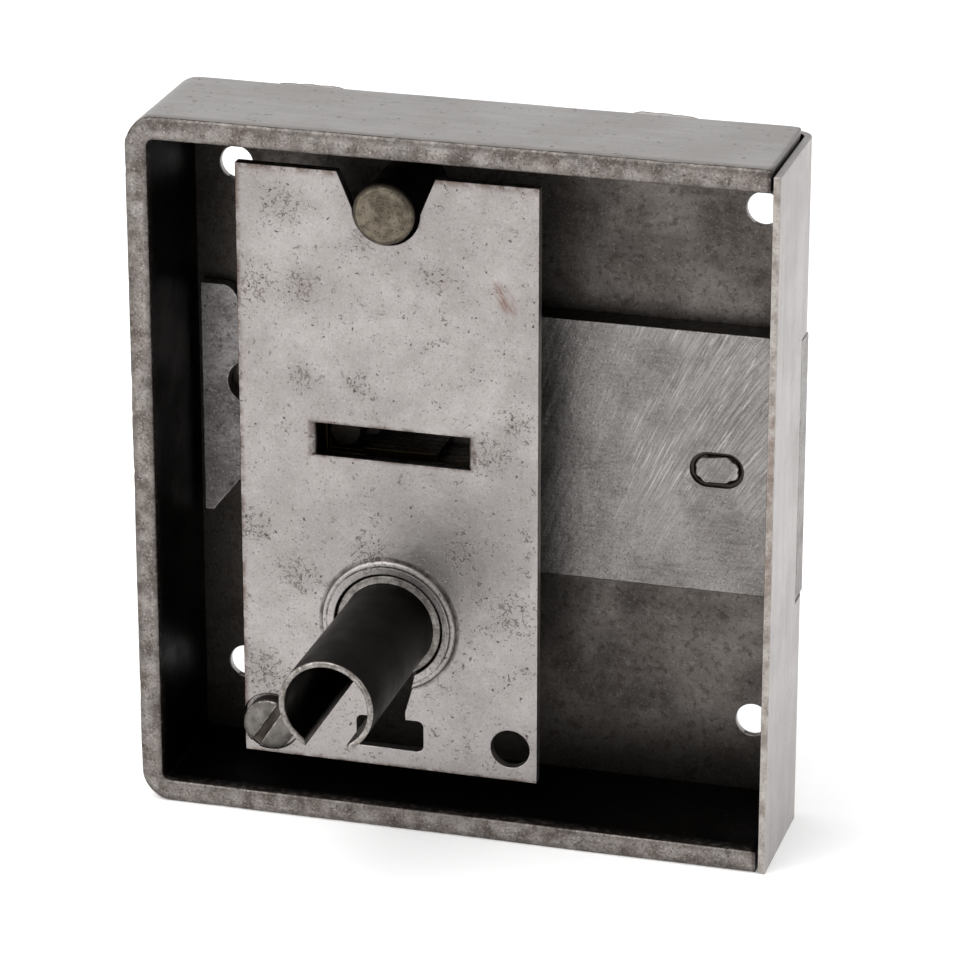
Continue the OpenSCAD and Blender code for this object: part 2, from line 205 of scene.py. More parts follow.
def ramped(tree, value, start, end, low=0.0, high=1.0):
    """Runs smoothly from low to high while value goes from start to end."""
    return add(
        tree, "MapRange", {"Value": value, 1: start, 2: end, 3: low, 4: high},
        interpolation_type="SMOOTHSTEP").outputs[0]


def clouds_of(tree, spot, size, detail=3.0, roughness=0.6):
    """Noise whose features are about size millimetres across. size may be a socket."""
    if isinstance(size, bpy.types.NodeSocket):
        scale = maths(tree, "DIVIDE", 1 / MM, size)
    else:
        scale = 1 / MM / size
    return add(tree, "TexNoise", {
        "Vector": spot, "Scale": scale, "Detail": detail, "Roughness": roughness})


def group(name, inputs, build):
    """A shader node group. build gets the tree and its inputs, and returns its outputs."""
    tree = bpy.data.node_groups.new(name, "ShaderNodeTree")
    for label, value in inputs.items():
        kind = "NodeSocketVector" if value is None else "NodeSocketFloat"
        socket = tree.interface.new_socket(label, in_out="INPUT", socket_type=kind)
        if value is not None:
            socket.default_value = value
    made = build(tree, tree.nodes.new("NodeGroupInput").outputs)
    for label, output in made.items():
        kind = "NodeSocketColor" if output.type == "RGBA" else "NodeSocketFloat"
        tree.interface.new_socket(label, in_out="OUTPUT", socket_type=kind)
    end = tree.nodes.new("NodeGroupOutput")
    for label, output in made.items():
        tree.links.new(output, end.inputs[label])
    return tree


def build_mottle(tree, given):
    clouds = clouds_of(tree, given["Vector"], given["Cloud Size"], 4.0, 0.62).outputs["Fac"]
    specks = clouds_of(tree, given["Vector"], given["Speck Size"], 2.0, 0.7).outputs["Fac"]
    grain = clouds_of(tree, given["Vector"], given["Grain Size"], 1.0, 0.5).outputs["Fac"]
    return {
        "Clouds": ramped(tree, clouds, 0.32, 0.68),
        "Specks": ramped(tree, specks, 0.54, 0.68),
        "Flecks": ramped(tree, specks, 0.42, 0.3),
        "Grain": grain}


def build_pits(tree, given):
    nudge = clouds_of(tree, given["Vector"], given["Size"], 2.0)
    centred = add(tree, "VectorMath", {
        0: nudge.outputs["Color"], 1: (0.5, 0.5, 0.5)}, operation="SUBTRACT").outputs[0]
    reach = maths(tree, "MULTIPLY", given["Size"], 2.2 * MM)
    shift = add(tree, "VectorMath", {0: centred, "Scale": reach}, operation="SCALE").outputs[0]
    bent = add(tree, "VectorMath", {0: given["Vector"], 1: shift}, operation="ADD").outputs[0]
    scale = maths(tree, "DIVIDE", 0.6 / MM, given["Size"])
    cells = add(tree, "TexVoronoi", {"Vector": bent, "Scale": scale})
    draw = add(tree, "SeparateColor", {0: cells.outputs["Color"]})
    chosen = maths(tree, "LESS_THAN", draw.outputs[0], given["Cover"])
    radius = maths(tree, "MULTIPLY_ADD", draw.outputs[1], 0.25, 0.16)
    depth = ramped(tree, maths(tree, "DIVIDE", cells.outputs["Distance"], radius), 1.0, 0.45)
    return {"Pits": maths(tree, "MULTIPLY", chosen, depth)}


def build_wear(tree, given):
    rim = add(tree, "Attribute", attribute_name="rim").outputs["Fac"]
    patches = clouds_of(tree, given["Vector"], given["Size"], 3.0).outputs["Fac"]
    limit = maths(tree, "SUBTRACT", 1.0, given["Amount"])
    start = maths(tree, "SUBTRACT", limit, 0.12)
    end = maths(tree, "ADD", limit, 0.12)
    return {"Wear": maths(tree, "MULTIPLY", rim, ramped(tree, patches, start, end))}


def build_rust(tree, given):
    spread = clouds_of(tree, given["Vector"], given["Size"], 5.0, 0.7).outputs["Fac"]
    limit = maths(tree, "SUBTRACT", 1.0, given["Cover"])
    start = maths(tree, "SUBTRACT", limit, 0.08)
    end = maths(tree, "ADD", limit, 0.14)
    shade = clouds_of(tree, given["Vector"], 0.5).outputs["Fac"]
    return {
        "Rust": ramped(tree, spread, start, end),
        "Colour": blended(tree, shade, tint(62, 44, 35), tint(124, 92, 71))}


def build_streaks(tree, given):
    across = maths(tree, "DIVIDE", 1 / MM, given["Across"])
    along = maths(tree, "DIVIDE", 1 / MM, given["Along"])
    stretch = add(tree, "CombineXYZ", {0: across, 1: across, 2: along}).outputs[0]
    drawn = add(tree, "VectorMath", {
        0: given["Vector"], 1: stretch}, operation="MULTIPLY").outputs[0]
    lines = add(tree, "TexNoise", {
        "Vector": drawn, "Scale": 1.0, "Detail": 3.0, "Roughness": 0.65}).outputs["Fac"]
    return {"Streaks": ramped(tree, lines, 0.34, 0.66)}


def build_nicks(tree, given):
    level = clouds_of(tree, given["Vector"], given["Size"], 2.0, 0.45).outputs["Fac"]
    line = ramped(tree, maths(tree, "ABSOLUTE", maths(tree, "SUBTRACT", level, 0.5)), 0.05, 0.01)
    half_size = maths(tree, "MULTIPLY", given["Size"], 0.6)
    parts = clouds_of(tree, given["Vector"], half_size, 2.0, 0.5).outputs["Fac"]
    limit = maths(tree, "SUBTRACT", 1.0, given["Cover"])
    kept = ramped(tree, parts, maths(tree, "SUBTRACT", limit, 0.04), maths(tree, "ADD", limit, 0.04))
    return {"Nicks": maths(tree, "MULTIPLY", line, kept)}


mottle = group("mottle", {
    "Vector": None, "Cloud Size": 8.0, "Speck Size": 0.8, "Grain Size": 0.3}, build_mottle)
pits = group("pits", {"Vector": None, "Size": 0.7, "Cover": 0.3}, build_pits)
edge_wear = group("edge_wear", {"Vector": None, "Size": 1.5, "Amount": 0.5}, build_wear)
rust = group("rust", {"Vector": None, "Size": 2.0, "Cover": 0.4}, build_rust)
streaks = group("streaks", {"Vector": None, "Across": 0.3, "Along": 8.0}, build_streaks)
nicks = group("nicks", {"Vector": None, "Size": 1.4, "Cover": 0.45}, build_nicks)


def metal(name):
    """A new material with a metal shader: its tree, its shader and the place on the piece."""
    material = bpy.data.materials.new(name)
    material.use_nodes = True
    tree = material.node_tree
    shader = tree.nodes["Principled BSDF"]
    shader.inputs["Metallic"].default_value = 1.0
    spot = add(tree, "TexCoord").outputs["Object"]
    return SimpleNamespace(material=material, tree=tree, shader=shader, spot=spot)


def use(coat, effect, **inputs):
    """Puts a node group into a material and returns its outputs."""
    named = {key.replace("_", " "): value for key, value in inputs.items()}
    made = add(coat.tree, "Group", node_tree=effect)
    for key, value in {"Vector": coat.spot, **named}.items():
        if isinstance(value, bpy.types.NodeSocket):
            coat.tree.links.new(value, made.inputs[key])
        else:
            made.inputs[key].default_value = value
    return made.outputs


def mark(coat, label):
    return add(coat.tree, "Attribute", attribute_name=label).outputs["Fac"]


def finish(coat, piece, colour, roughness, height, relief):
    """Wires the shader and puts the material on a piece. relief is in millimetres."""
    bump = add(coat.tree, "Bump", {"Height": height, "Distance": relief * MM, "Strength": 1.0})
    for key, socket in (
            ("Base Color", colour), ("Roughness", roughness), ("Normal", bump.outputs[0])):
        coat.tree.links.new(socket, coat.shader.inputs[key])
    piece.data.materials.clear()
    piece.data.materials.append(coat.material)
    return coat.material


def on_plate_outside(centre, normal):
    """Tells the back, the forend's face and the sheet's cut edges, but no hole's wall."""
    near = 0.3 * MM
    at_cut_edge = (
        centre.x < plate_low.x + near
        or centre.z < plate_low.z + near or centre.z > plate_high.z - near)
    return max(normal.x, normal.y) > 0.5 or at_cut_edge


def on_forend_edge(centre, normal):
    """Tells the forend's narrow front edge."""
    return normal.y < -0.5 and centre.x > plate_high.x - 1.2 * MM


def lying(coat):
    """The place on the piece with X and Z swapped, which lays a group's streaks level."""
    place = add(coat.tree, "SeparateXYZ", {0: coat.spot}).outputs
    return add(coat.tree, "CombineXYZ", {0: place["Z"], 1: place["Y"], 2: place["X"]}).outputs[0]


def over(coat, colour, mask, amount, top):
    """Lays a colour over another where a mask is, as strongly as amount says."""
    return blended(coat.tree, maths(coat.tree, "MULTIPLY", mask, amount), colour, top)


lock_plate = worn_copy(
    "bent_lock_plate", "lock_plate", "case", 0.14 * MM,
    marks={"outside": on_plate_outside, "edge": on_forend_edge})
coat = metal("sheet_steel")
old = use(coat, mottle, Cloud_Size=11.0, Speck_Size=0.5, Grain_Size=0.25)
fine = use(coat, mottle, Cloud_Size=2.2, Speck_Size=0.3, Grain_Size=0.12)
wiped = use(coat, streaks, Vector=lying(coat), Across=2.4, Along=18.0)
drawn = use(coat, streaks, Across=2.2, Along=30.0)
smudges = use(coat, mottle, Cloud_Size=4.5, Speck_Size=1.1, Grain_Size=0.3)
scratches = use(coat, nicks, Size=2.0, Cover=0.4)
inside = blended(coat.tree, old["Clouds"], tint(62, 57, 54), tint(100, 95, 91))
inside = over(coat, inside, wiped["Streaks"], 0.2, tint(124, 119, 115))
inside = over(coat, inside, smudges["Clouds"], 0.3, tint(116, 111, 107))
inside = over(coat, inside, smudges["Specks"], 0.5, tint(52, 46, 43))
inside = over(coat, inside, fine["Clouds"], 0.25, tint(62, 55, 51))
inside = over(coat, inside, old["Specks"], 0.5, tint(44, 38, 35))
inside = over(coat, inside, fine["Flecks"], 0.35, tint(142, 137, 132))
inside = over(coat, inside, scratches["Nicks"], 0.12, tint(158, 154, 149))
# Painted shade darkens the plate towards the rim band and behind the tail
place = add(coat.tree, "SeparateXYZ", {0: coat.spot}).outputs
at_left = ramped(coat.tree, place["X"], plate_low.x + 17 * MM, plate_low.x + 5 * MM)
at_foot = ramped(coat.tree, place["Z"], plate_low.z + 16 * MM, plate_low.z + 4 * MM)
at_top = ramped(coat.tree, place["Z"], plate_high.z - 9 * MM, plate_high.z - 3 * MM, 0.0, 0.7)
painted_shade = maths(coat.tree, "MAXIMUM", maths(coat.tree, "MAXIMUM", at_left, at_foot), at_top)
inside = over(coat, inside, painted_shade, 0.7, tint(26, 23, 20))
outer = blended(coat.tree, drawn["Streaks"], tint(164, 160, 159), tint(174, 170, 169))
outer = over(coat, outer, smudges["Clouds"], 0.25, tint(150, 146, 144))
outer = over(coat, outer, fine["Specks"], 0.18, tint(128, 122, 118))
outer = over(coat, outer, scratches["Nicks"], 0.25, tint(120, 114, 110))
edge = blended(coat.tree, fine["Clouds"], tint(134, 126, 120), tint(176, 170, 165))
edge = over(coat, edge, fine["Specks"], 0.6, tint(90, 80, 72))
colour = blended(coat.tree, mark(coat, "outside"), inside, outer)
colour = blended(coat.tree, mark(coat, "edge"), colour, edge)
# The forend's edge is rustiest within 22 mm of the bolt's level
head_low, head_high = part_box("bolt_head")
from_bolt = maths(coat.tree, "ABSOLUTE", maths(
    coat.tree, "SUBTRACT", place["Z"], (head_low.z + head_high.z) / 2))
near_bolt = ramped(coat.tree, from_bolt, 22 * MM, 6 * MM)
stain = use(coat, rust, Size=1.6, Cover=maths(coat.tree, "MULTIPLY_ADD", near_bolt, 0.18, 0.36))
stained = maths(coat.tree, "MULTIPLY", stain["Rust"], maths(
    coat.tree, "MULTIPLY_ADD", mark(coat, "edge"), 0.42, 0.06))
colour = blended(coat.tree, stained, colour, stain["Colour"])
wear = use(coat, edge_wear, Size=1.2, Amount=0.5)
colour = over(coat, colour, wear["Wear"], 0.5, tint(178, 173, 168))
# The plate's outside is painted darker in a thin line round the bolt's opening
gaps = []
for axis, low, high in (("Y", head_low.y, head_high.y), ("Z", head_low.z, head_high.z)):
    off = maths(coat.tree, "ABSOLUTE", maths(coat.tree, "SUBTRACT", place[axis], (low + high) / 2))
    gaps.append(maths(coat.tree, "SUBTRACT", off, (high - low) / 2))
seam = ramped(coat.tree, maths(coat.tree, "MAXIMUM", *gaps), 0.55 * MM, 0.25 * MM)
outer_seam = maths(coat.tree, "MULTIPLY", seam, mark(coat, "outside"))
colour = over(coat, colour, outer_seam, 0.8, tint(52, 46, 42))
roughness = ramped(coat.tree, old["Clouds"], 0.0, 1.0, 0.46, 0.36)
height = maths(coat.tree, "ADD", fine["Grain"], maths(coat.tree, "MULTIPLY", smudges["Clouds"], 0.7))
finish(coat, lock_plate, colour, roughness, height, 0.025)


# Rim band: one strip of 3 mm steel bent round the top, the back and the foot of the case.
# Its cut front edge is mottled and full of nicks, its outer face is smooth from handling,
# and six tenons at its back edge are hammered over on the lock plate.
def skin(rings, marks=None):
    """A bmesh skinned over closed rings of points, capped at both ends.

    marks gives point attributes, each a list with one value per point of a ring.
    """
    work = bmesh.new()
    layers = {label: work.verts.layers.float.new(label) for label in (marks or {})}
    rows = []
    for ring in rings:
        row = [work.verts.new(point) for point in ring]
        for label, layer in layers.items():
            for vert, value in zip(row, marks[label]):
                vert[layer] = value
        rows.append(row)
    for row, following in zip(rows, rows[1:]):
        for i, vert in enumerate(row):
            j = (i + 1) % len(row)
            work.faces.new((vert, following[i], following[j], row[j]))
    work.faces.new(rows[0])
    work.faces.new(reversed(rows[-1]))
    bmesh.ops.recalc_face_normals(work, faces=work.faces)
    return work


def arc(centre, radius, start, end, count):
    """Points on an arc, with angles in degrees."""
    turns = [math.radians(start + (end - start) * i / count) for i in range(count + 1)]
    return [(centre[0] + radius * math.cos(t), centre[1] + radius * math.sin(t)) for t in turns]


def between(first, last, count):
    """Points between two others, without them."""
    return [
        tuple(a + (b - a) * i / count for a, b in zip(first, last)) for i in range(1, count)]


band_low, band_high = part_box("rim_band")
band_t = 3 * MM
band_bend_r = 4 * MM
sheet_t = 1 * MM
plate_front = plate_high.y - sheet_t

# The strip's section, as (depth below its outer face, distance behind the front rim)
nose_r = 0.55 * MM
throat_r = 0.35 * MM
heel_r = 0.2 * MM
section = [
    *arc((nose_r, nose_r), nose_r, 180, 270, 6),
    *between((nose_r, 0), (band_t - throat_r, 0), 5),
    *arc((band_t - throat_r, throat_r), throat_r, 270, 360, 3),
    *between((band_t, throat_r), (band_t, plate_front - heel_r), 9),
    *arc((band_t - heel_r, plate_front - heel_r), heel_r, 0, 90, 2),
    *arc((heel_r, plate_front - heel_r), heel_r, 90, 180, 2),
    *between((0, plate_front - heel_r), (0, nose_r), 14)]
at_nose = [1.0 if y < nose_r * 1.01 and t < nose_r * 1.01 else 0.0 for t, y in section]
at_throat = [0.8 if y < throat_r * 1.01 and t > band_t - throat_r * 1.01 else 0.0 for t, y in section]
on_rim = [max(pair) for pair in zip(at_nose, at_throat)]
on_front = [1.0 if y < 0.3 * MM else 0.0 for t, y in section]
on_outside = [1.0 if t < 0.01 * MM else 0.0 for t, y in section]

# The strip's route, as (place on the outer face, way in), from the forend round to it again
step = 0.8 * MM
left_x = band_low.x
bend_x = left_x + band_bend_r
top_z, foot_z = band_high.z, band_low.z
route = []
for z, way in ((top_z, -1), (foot_z, 1)):
    count = round((band_high.x - bend_x) / step)
    line = [((x, z), (0, way)) for x, _ in (
        (band_high.x, z), *between((band_high.x, z), (bend_x, z), count))]
    centre = (bend_x, z + way * band_bend_r)
    corner = [
        (point, ((centre[0] - point[0]) / band_bend_r, (centre[1] - point[1]) / band_bend_r))
        for point in arc(centre, band_bend_r, -way * 90, -way * 180, 10)]
    half = [*line, *corner]
    route.append(half)
down_count = round((top_z - foot_z - 2 * band_bend_r) / step)
down_wall = [(point, (1, 0)) for point in between(
    (left_x, top_z - band_bend_r), (left_x, foot_z + band_bend_r), down_count)]
route = [*route[0], *down_wall, *reversed(route[1])]

# Its ends are rounded off where they come near the inside of the forend's bend
relief_centre = Vector((plate_high.x - 2.5 * MM, plate_high.y - 2.5 * MM))
relief_r = 1.25 * MM


def hammered(point, away, edge):
    """Moves a point of the strip as wear and hammering have, in or out along away."""
    swell = 0.05 * noise.noise(point / (11 * MM)) + 0.012 * noise.noise(point / (3 * MM))
    nick = max(0.0, noise.noise(point / (1.6 * MM) + Vector((7, 0, 0))) - 0.3) * 0.22
    dent = max(0.0, noise.noise(point / (5 * MM) + Vector((0, 9, 0))) - 0.3) * 0.4
    return point + away * (swell - edge * (nick + dent)) * MM


rings = []
for (x, z), (in_x, in_z) in route:
    ring = []
    for (t, y), edge_share in zip(section, on_rim):
        point = Vector((x + in_x * t, y, z + in_z * t))
        flat = Vector((point.x, point.y)) - relief_centre
        if flat.x > 0 and flat.y > 0 and flat.length > relief_r:
            flat = flat * relief_r / flat.length
            point.x, point.y = relief_centre.x + flat.x, relief_centre.y + flat.y
        share = (t / band_t - 0.5) * 2
        away = Vector((in_x * share, -1.0 if y < nose_r else 0.0, in_z * share)).normalized()
        inner_wall = t > band_t - 0.01 * MM
        ring.append(point if inner_wall else hammered(point, away, edge_share))
    rings.append(ring)
band = placed(
    "bent_rim_band", skin(rings, {"rim": on_rim, "front": on_front, "outside": on_outside}),
    "case", ["rim_band"])

coat = metal("band_steel")
old = use(coat, mottle, Cloud_Size=10.0, Speck_Size=0.6, Grain_Size=0.25)
fine = use(coat, mottle, Cloud_Size=1.4, Speck_Size=0.32, Grain_Size=0.12)
broad = use(coat, mottle, Cloud_Size=5.0, Speck_Size=0.9, Grain_Size=0.3)
patches = use(coat, mottle, Cloud_Size=3.2, Speck_Size=1.3, Grain_Size=0.3)
rubbed = use(coat, streaks, Vector=lying(coat), Across=1.6, Along=16.0)
scratches = use(coat, nicks, Size=2.4, Cover=0.37)
inside = blended(coat.tree, old["Clouds"], tint(15, 14, 14), tint(28, 26, 25))
outer = blended(coat.tree, old["Clouds"], tint(172, 169, 167), tint(192, 189, 187))
outer = over(coat, outer, rubbed["Streaks"], 0.35, tint(158, 154, 152))
outer = over(coat, outer, broad["Clouds"], 0.2, tint(152, 147, 144))
outer = over(coat, outer, fine["Specks"], 0.15, tint(120, 112, 106))
outer = over(coat, outer, scratches["Nicks"], 0.4, tint(96, 90, 86))
front = blended(coat.tree, patches["Clouds"], tint(84, 77, 73), tint(152, 147, 143))
front = over(coat, front, broad["Clouds"], 0.3, tint(120, 106, 101))
front = over(coat, front, patches["Specks"], 0.45, tint(70, 62, 54))
front = over(coat, front, fine["Specks"], 0.7, tint(52, 46, 42))
front = over(coat, front, fine["Flecks"], 0.7, tint(184, 179, 176))
colour = blended(coat.tree, mark(coat, "outside"), inside, outer)
colour = blended(coat.tree, mark(coat, "front"), colour, front)
holes = use(coat, pits, Size=0.5, Cover=0.12)
colour = over(coat, colour, holes["Pits"], 0.5, tint(60, 52, 48))
colour = over(coat, colour, mark(coat, "rim"), 0.5, tint(84, 78, 74))
wear = use(coat, edge_wear, Size=0.9, Amount=0.42)
colour = over(coat, colour, wear["Wear"], 0.5, tint(158, 152, 147))
roughness = maths(coat.tree, "MULTIPLY_ADD", mark(coat, "rim"), 0.12, ramped(
    coat.tree, old["Clouds"], 0.0, 1.0, 0.48, 0.36))
height = maths(coat.tree, "SUBTRACT", maths(coat.tree, "MULTIPLY", fine["Clouds"], 0.6), holes["Pits"])
# Oil and soot inside keep the steel from shining where it is seen at a low angle
sheen = blended(coat.tree, mark(coat, "outside"), (0.7, 0.7, 0.7, 1), (1, 1, 1, 1))
coat.tree.links.new(sheen, coat.shader.inputs["Specular Tint"])
band_steel = finish(coat, band, colour, roughness, height, 0.03)

# The tenon ends are found on the strip's own solid, behind the plate's back face, and each
# gets a head that is hammered over, as rings of (distance behind the plate in mm, size)
tenon_apart = 12 * MM
head_overhang = 0.45 * MM
head_lean = 0.2 * MM
head_points = 48
head_rings = ((-0.5, 0.8), (-0.12, 0.98), (0.06, 1.0), (0.17, 0.93), (0.23, 0.72))
tenons = []
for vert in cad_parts["rim_band"].data.vertices:
    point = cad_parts["rim_band"].matrix_world @ vert.co
    if point.y > plate_high.y - 0.1 * MM:
        near = [cluster for cluster in tenons if (cluster[0] - point).length < tenon_apart]
        if near:
            near[0].append(point)
        else:
            tenons.append([point])
for number, cluster in enumerate(sorted(tenons, key=lambda c: (round(c[0].z, 2), c[0].x)), 1):
    low = Vector([min(point[i] for point in cluster) for i in range(3)])
    high = Vector([max(point[i] for point in cluster) for i in range(3)])
    middle = (low + high) / 2
    upright = high.z - low.z > high.x - low.x
    outward = Vector((-1, 0, 0)) if upright else Vector((0, 0, 1 if middle.z > 0 else -1))
    rings = []
    for behind, size in head_rings:
        ring = []
        for i in range(head_points):
            turn = 2 * math.pi * i / head_points
            cos, sin = math.cos(turn), math.sin(turn)
            reach = (abs(cos) ** 4 + abs(sin) ** 4) ** -0.25 * size
            spread = Vector((cos * reach, 0, sin * reach))
            spread.x *= (high.x - low.x) / 2 + head_overhang
            spread.z *= (high.z - low.z) / 2 + head_overhang
            if spread.dot(outward) > 0:
                spread += outward * head_lean * size
            point = Vector((middle.x, plate_high.y + behind * MM, middle.z)) + spread
            wobble = noise.noise(point / (2.2 * MM)) * 0.3 + noise.noise(point / (0.8 * MM)) * 0.08
            ring.append(point + spread.normalized() * wobble * MM)
        rings.append(ring)
    marks = {"outside": [0.8] * head_points, "rim": [0.6] * head_points}
    head = placed(f"tenon_head_{number}", skin(rings, marks), "case", [])
    head.data.materials.append(band_steel)


# Posts and pins: turned steel, each riveted through the lock plate by a spigot. The thick
# post carries the tumbler springs and shows its turned end in the cover's notch. Its sides,
# and all the hidden pins and the tube's seat with them, are painted near black as shade.
coat = metal("turned_steel")
old = use(coat, mottle, Cloud_Size=2.2, Speck_Size=0.5, Grain_Size=0.15)
place = add(coat.tree, "SeparateXYZ", {0: coat.spot})
post_low, post_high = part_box("spring_post")
post_z = (post_low.z + post_high.z) / 2
from_axis = add(coat.tree, "VectorMath", {0: add(coat.tree, "CombineXYZ", {
    0: place.outputs["X"], 1: maths(coat.tree, "SUBTRACT", place.outputs["Z"], post_z)}).outputs[0]},
    operation="LENGTH").outputs["Value"]
ring_pitch = 0.42 * MM
turning = maths(coat.tree, "SINE", maths(
    coat.tree, "MULTIPLY_ADD", from_axis, 2 * math.pi / ring_pitch, maths(
        coat.tree, "MULTIPLY", old["Clouds"], 3.0)))
colour = blended(coat.tree, old["Clouds"], tint(78, 71, 61), tint(116, 108, 95))
colour = over(coat, colour, old["Specks"], 0.6, tint(52, 45, 38))
colour = over(coat, colour, ramped(coat.tree, turning, -1.0, 1.0), 0.08, tint(150, 142, 128))
# Painted shade: all that lies deeper than the post's end face is painted near black
painted_shade = ramped(coat.tree, place.outputs["Y"], post_low.y + 0.75 * MM, post_low.y + 1.2 * MM)
colour = over(coat, colour, painted_shade, 0.95, tint(15, 13, 12))
roughness = ramped(coat.tree, old["Clouds"], 0.0, 1.0, 0.52, 0.4)
height = maths(coat.tree, "MULTIPLY_ADD", turning, 0.08, old["Clouds"])
for name, node, radius in (
        ("turned_spring_post", "spring_post", 0.2), ("tapped_screw_pillar", "screw_pillar", 0.15),
        ("turned_tumbler_guides", "tumbler_guides", 0.2), ("turned_bolt_guide", "bolt_guide", 0.15),
        ("turned_tube_seat", "tube_seat", 0.12), ("turned_bolt_stump", "bolt_stump", 0.15)):
    body = "bolt" if node == "bolt_stump" else "case"
    piece = worn_copy(name, node, body, radius * MM)
    finish(coat, piece, colour, roughness, height, 0.02)


# Bolt tail: 2 mm steel plate, blanked to shape and left as rolled, with a tongue that the
# bolt's head is riveted to. Its hammer-shaped end is coarse, lilac-grey and speckled.
tail = worn_copy("blanked_bolt_tail", "bolt_tail", "bolt", 0.22 * MM)
coat = metal("tail_steel")
old = use(coat, mottle, Cloud_Size=5.0, Speck_Size=0.7, Grain_Size=0.2)
coarse = use(coat, pits, Size=0.6, Cover=0.4)
fine = use(coat, mottle, Cloud_Size=1.2, Speck_Size=0.35, Grain_Size=0.12)
rolled = use(coat, streaks, Vector=lying(coat), Across=0.4, Along=2.4)
colour = blended(coat.tree, old["Clouds"], tint(130, 125, 124), tint(176, 171, 170))
colour = over(coat, colour, rolled["Streaks"], 0.4, tint(100, 95, 94))
colour = over(coat, colour, fine["Specks"], 0.55, tint(74, 69, 68))
colour = over(coat, colour, fine["Flecks"], 0.6, tint(204, 200, 199))
colour = over(coat, colour, coarse["Pits"], 0.6, tint(66, 60, 59))
wear = use(coat, edge_wear, Size=1.2, Amount=0.5)
colour = over(coat, colour, wear["Wear"], 0.5, tint(172, 168, 167))
roughness = ramped(coat.tree, old["Clouds"], 0.0, 1.0, 0.5, 0.4)
height = maths(coat.tree, "SUBTRACT", old["Grain"], coarse["Pits"])
finish(coat, tail, colour, roughness, height, 0.03)


# Bolt head and rivet: a milled block on the tail's tongue, held by an oval rivet. Head and
# rivet were dressed together with a coarse file, in strokes that fan out towards the forend.
rivet_low, rivet_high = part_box("bolt_rivet")
rivet_middle = (rivet_low + rivet_high) / 2
rivet_half_w = (rivet_high.x - rivet_low.x) / 2
rivet_half_h = (rivet_high.z - rivet_low.z) / 2


def at_rivet_hole(edge):
    """Tells the edges of the head's oval hole, which the rivet fills."""
    return (edge.verts[0].co.xz - rivet_middle.xz).length < rivet_half_w + 1 * MM


head = worn_copy(
    "filed_bolt_head", "bolt_head", "bolt", 0.2 * MM, crisp=at_rivet_hole)

# The rivet fills its hole up to a shallow groove and is ragged above it. Its rings are
# (place along the rivet, size, raggedness)
groove_depth = 0.28 * MM
rivet_points = 160
rings = []
for y, size, rough in (
        (rivet_high.y, 1.0, 0.0), (rivet_low.y + groove_depth, 1.0, 0.0),
        (rivet_low.y + 0.2 * MM, 0.97, 1.0), (rivet_low.y + 0.04 * MM, 0.95, 1.0),
        (rivet_low.y, 0.9, 1.0)):
    ring = []
    for i in range(rivet_points):
        turn = 2 * math.pi * i / rivet_points
        out = Vector((math.cos(turn), 0, math.sin(turn)))
        point = out * rivet_half_h
        point.x += math.copysign(rivet_half_w - rivet_half_h, out.x)
        ragged = noise.noise(point / (1.3 * MM)) * 0.42 + noise.noise(point / (0.6 * MM)) * 0.1 - 0.16
        point = point * size + out * min(0.0, ragged) * rough * MM
        ring.append(Vector((rivet_middle.x + point.x, y, rivet_middle.z + point.z)))
    rings.append(ring)
rivet = placed("filed_bolt_rivet", skin(rings), "bolt", ["bolt_rivet"])

coat = metal("filed_steel")
place = add(coat.tree, "SeparateXYZ", {0: coat.spot}).outputs
# The strokes lean 18 degrees from upright at the head's inner end and 42 at the forend
steep, shallow = 1 / math.tan(math.radians(18)), 1 / math.tan(math.radians(42))
from_end = maths(coat.tree, "SUBTRACT", place["X"], head_low.x)
fanning = (shallow - steep) / 2 / (head_high.x - head_low.x)
rise = maths(coat.tree, "MULTIPLY", from_end, maths(
    coat.tree, "MULTIPLY_ADD", from_end, fanning, steep))
beside = maths(coat.tree, "MULTIPLY", maths(coat.tree, "SUBTRACT", place["Z"], rise), 0.5)
fanned = add(coat.tree, "CombineXYZ", {0: beside, 1: place["Y"], 2: place["X"]}).outputs[0]
strokes = use(coat, streaks, Vector=fanned, Across=0.24, Along=3.2)
wide = use(coat, streaks, Vector=fanned, Across=0.9, Along=7.0)
deep_cuts = use(coat, streaks, Vector=fanned, Across=0.28, Along=2.6)
level = use(coat, streaks, Vector=lying(coat), Across=0.5, Along=3.0)
old = use(coat, mottle, Cloud_Size=6.0, Speck_Size=0.5, Grain_Size=0.2)
fine = use(coat, mottle, Cloud_Size=1.5, Speck_Size=0.3, Grain_Size=0.12)
# Filed is the part towards the forend and the top, and it ends unevenly
uneven = maths(coat.tree, "MULTIPLY_ADD", old["Clouds"], 12 * MM, -6 * MM)
to_forend = ramped(
    coat.tree, maths(coat.tree, "ADD", place["X"], uneven),
    head_low.x + 12 * MM, head_low.x + 24 * MM, 0.12, 1.0)
to_top = ramped(
    coat.tree, maths(coat.tree, "ADD", place["Z"], uneven),
    head_low.z + 8 * MM, head_low.z + 20 * MM, 0.12, 1.0)
filed = maths(coat.tree, "MULTIPLY", to_forend, to_top)
colour = blended(coat.tree, old["Clouds"], tint(106, 102, 100), tint(138, 134, 132))
colour = over(coat, colour, level["Streaks"], maths(
    coat.tree, "MULTIPLY_ADD", filed, -0.3, 0.34), tint(158, 154, 151))
colour = over(coat, colour, fine["Specks"], maths(
    coat.tree, "MULTIPLY_ADD", filed, -0.3, 0.7), tint(62, 58, 56))
colour = over(coat, colour, fine["Flecks"], 0.5, tint(178, 174, 171))
colour = over(coat, colour, wide["Streaks"], 0.25, tint(96, 92, 89))
colour = over(coat, colour, strokes["Streaks"], maths(
    coat.tree, "MULTIPLY", filed, 0.45), tint(172, 169, 166))
bright_cuts = ramped(coat.tree, deep_cuts["Streaks"], 0.86, 1.0)
colour = over(coat, colour, bright_cuts, maths(
    coat.tree, "MULTIPLY_ADD", filed, 0.36, 0.04), tint(204, 201, 198))
wear = use(coat, edge_wear, Size=1.2, Amount=0.5)
